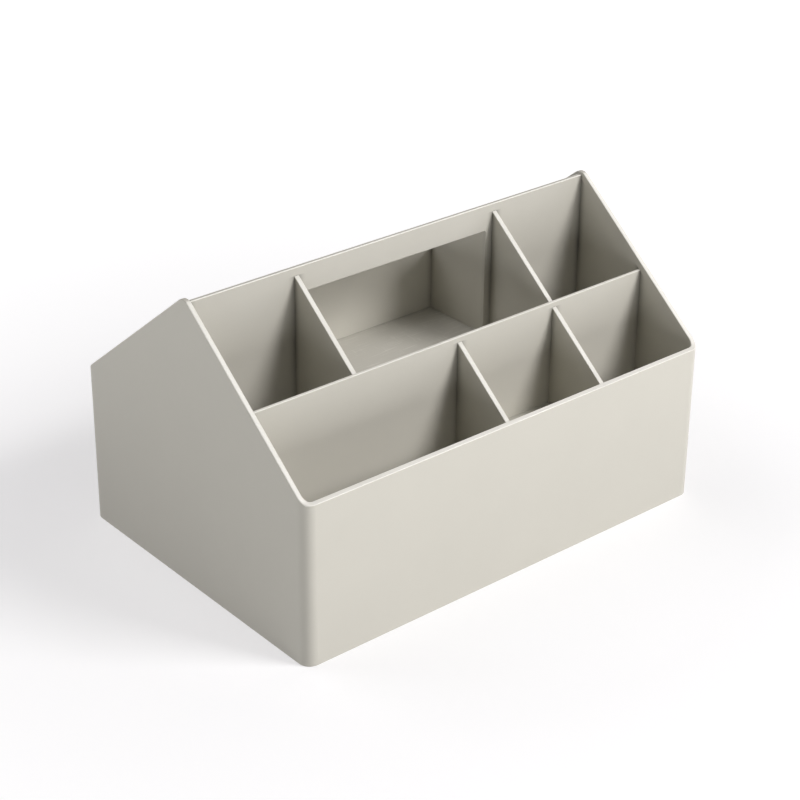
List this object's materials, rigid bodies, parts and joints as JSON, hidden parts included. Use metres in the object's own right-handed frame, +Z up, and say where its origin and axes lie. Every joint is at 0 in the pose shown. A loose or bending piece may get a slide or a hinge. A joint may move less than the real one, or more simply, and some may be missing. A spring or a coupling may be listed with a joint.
{
  "type": "storage caddy",
  "caption": "House-shaped open storage caddy for a desk, with a carrying bar along the ridge, rows of bays and a raised middle bay.",
  "frame": {"origin": "centre of the caddy's outline on the surface it stands on", "axes": "+X along the ridge and the carrying bar, +Y from the row with small partitions towards the undivided rear row, +Z up"},
  "size_m": [0.266, 0.187, 0.1613],
  "materials": {
    "warm_grey_plastic": "fine satin moulded surface"
  },
  "bodies": {
    "root": {"base_floor": "warm_grey_plastic", "front_divider": "warm_grey_plastic", "outer_shell": "warm_grey_plastic", "raised_floor": "warm_grey_plastic", "rear_divider": "warm_grey_plastic", "ridge_partition_front_left": "warm_grey_plastic", "ridge_partition_front_right": "warm_grey_plastic", "ridge_partition_rear_left": "warm_grey_plastic", "ridge_partition_rear_right": "warm_grey_plastic", "ridge_wall": "warm_grey_plastic", "row_partition_middle": "warm_grey_plastic", "row_partition_right": "warm_grey_plastic", "row_raised_floor": "warm_grey_plastic"}
  },
  "joints": []
}
